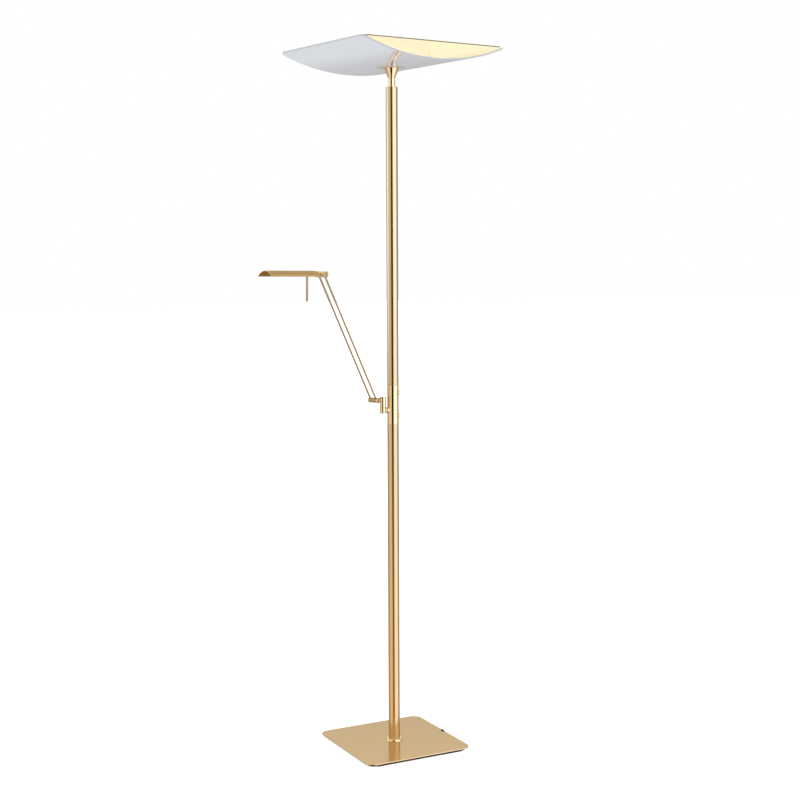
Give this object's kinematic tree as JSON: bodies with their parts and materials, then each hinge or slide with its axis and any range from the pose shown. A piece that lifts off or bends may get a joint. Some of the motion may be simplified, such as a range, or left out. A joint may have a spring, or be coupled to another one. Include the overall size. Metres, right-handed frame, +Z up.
{
  "type": "floor lamp",
  "caption": "Floor lamp with a square foot, slim brass pole, bent sheet uplight with a lit flat cover, and a swivelling twin-rod reading arm with a tilting arched head.",
  "frame": {"origin": "on the floor, in the middle of the foot, under the pole's axis", "axes": "+Z up along the pole; +X towards the cable notch and the push buttons, away from the reading arm's stub; +Y along the foot's other edges. The shade's straight lines are turned 6.3 degrees about +Z from +Y"},
  "size_m": [0.6559, 0.4308, 1.8],
  "materials": {
    "satin_brass": "satin lacquered brass",
    "polished_brass": "polished brass",
    "steel": "zinc plated",
    "cast_aluminium": "plain",
    "plastic_black": "moulded",
    "dark_weight": "dark lacquered steel",
    "felt": "felt",
    "shade_lacquer": "gloss light grey lacquer",
    "lit_cover": "translucent, lit from inside",
    "clear_plastic": "clear",
    "circuit_board": "white solder mask",
    "circuit_green": "circuit board",
    "light_points": "phosphor",
    "opal_strip": "opal diffuser",
    "friction_plastic": "nylon"
  },
  "bodies": {
    "stand": {"floor_pad": "felt", "base_weight": "dark_weight", "base_plate": "satin_brass", "cable_gland": "plastic_black", "foot_ring": "polished_brass", "base_nipple": "steel", "base_washer": "steel", "base_nut": "steel", "bottom_plug": "steel", "lower_pole": "satin_brass", "collar": "polished_brass", "upper_pole": "satin_brass", "lower_sleeve": "cast_aluminium", "upper_sleeve": "cast_aluminium", "pole_cap": "polished_brass", "shade_neck": "polished_brass", "shade_cone": "polished_brass", "shade_nipple": "steel", "shade_nut": "steel", "control_board": "circuit_green", "switch_housing_lower": "plastic_black", "switch_housing_upper": "plastic_black", "arm_anchor": "cast_aluminium", "arm_stub": "polished_brass", "swivel_knuckle": "polished_brass", "swivel_pin": "steel", "shade_sheet": "shade_lacquer", "shade_saddle": "cast_aluminium", "uplight_tray": "cast_aluminium", "uplight_driver": "plastic_black", "uplight_board": "circuit_board", "uplight_points": "light_points", "cover_posts": "clear_plastic", "cover_plate": "lit_cover"},
    "button_lower": {"button_lower": "polished_brass"},
    "button_upper": {"button_upper": "polished_brass"},
    "swivel": {"swivel_barrel": "polished_brass", "barrel_set_screw": "steel", "elbow_link": "polished_brass"},
    "arm": {"elbow_screw": "steel", "elbow_washer": "friction_plastic", "cross_tube": "satin_brass", "arm_rod_near": "satin_brass", "arm_rod_far": "satin_brass", "rod_eye_near": "polished_brass", "rod_eye_far": "polished_brass", "tilt_screw": "steel", "tilt_washers": "friction_plastic"},
    "head_neck": {"tilt_barrel": "polished_brass"},
    "head": {"head_block": "satin_brass", "head_shell": "satin_brass", "light_bar": "cast_aluminium", "light_board": "circuit_board", "head_diffuser": "opal_strip", "handle_pin": "satin_brass"}
  },
  "joints": [
    {"name": "arm_swivel", "type": "hinge", "parent": "stand", "child": "swivel", "pos_m": [-0.0293, 0, 0.8942], "axis": [0, 0, 1], "range_deg": [-99, 51]},
    {"name": "arm_lift", "type": "hinge", "parent": "swivel", "child": "arm", "pos_m": [-0.05257, 0.00556, 0.9126], "axis": [0.4067, -0.9135, 0], "range_deg": [-25, 70]},
    {"name": "head_tilt", "type": "hinge", "parent": "arm", "child": "head_neck", "pos_m": [-0.23543, -0.07585, 1.23796], "axis": [0.4067, -0.9135, 0], "range_deg": [-60, 55]},
    {"name": "head_turn", "type": "hinge", "parent": "head_neck", "child": "head", "pos_m": [-0.23543, -0.07585, 1.23796], "axis": [-0.9134, -0.4067, 0.0157], "range_deg": [-60, 60]},
    {"name": "button_lower_press", "type": "slide", "parent": "stand", "child": "button_lower", "axis": [-1, 0, 0], "range_m": [0, 0.001], "stiffness_N_per_m": 800},
    {"name": "button_upper_press", "type": "slide", "parent": "stand", "child": "button_upper", "axis": [-1, 0, 0], "range_m": [0, 0.001], "stiffness_N_per_m": 800}
  ]
}
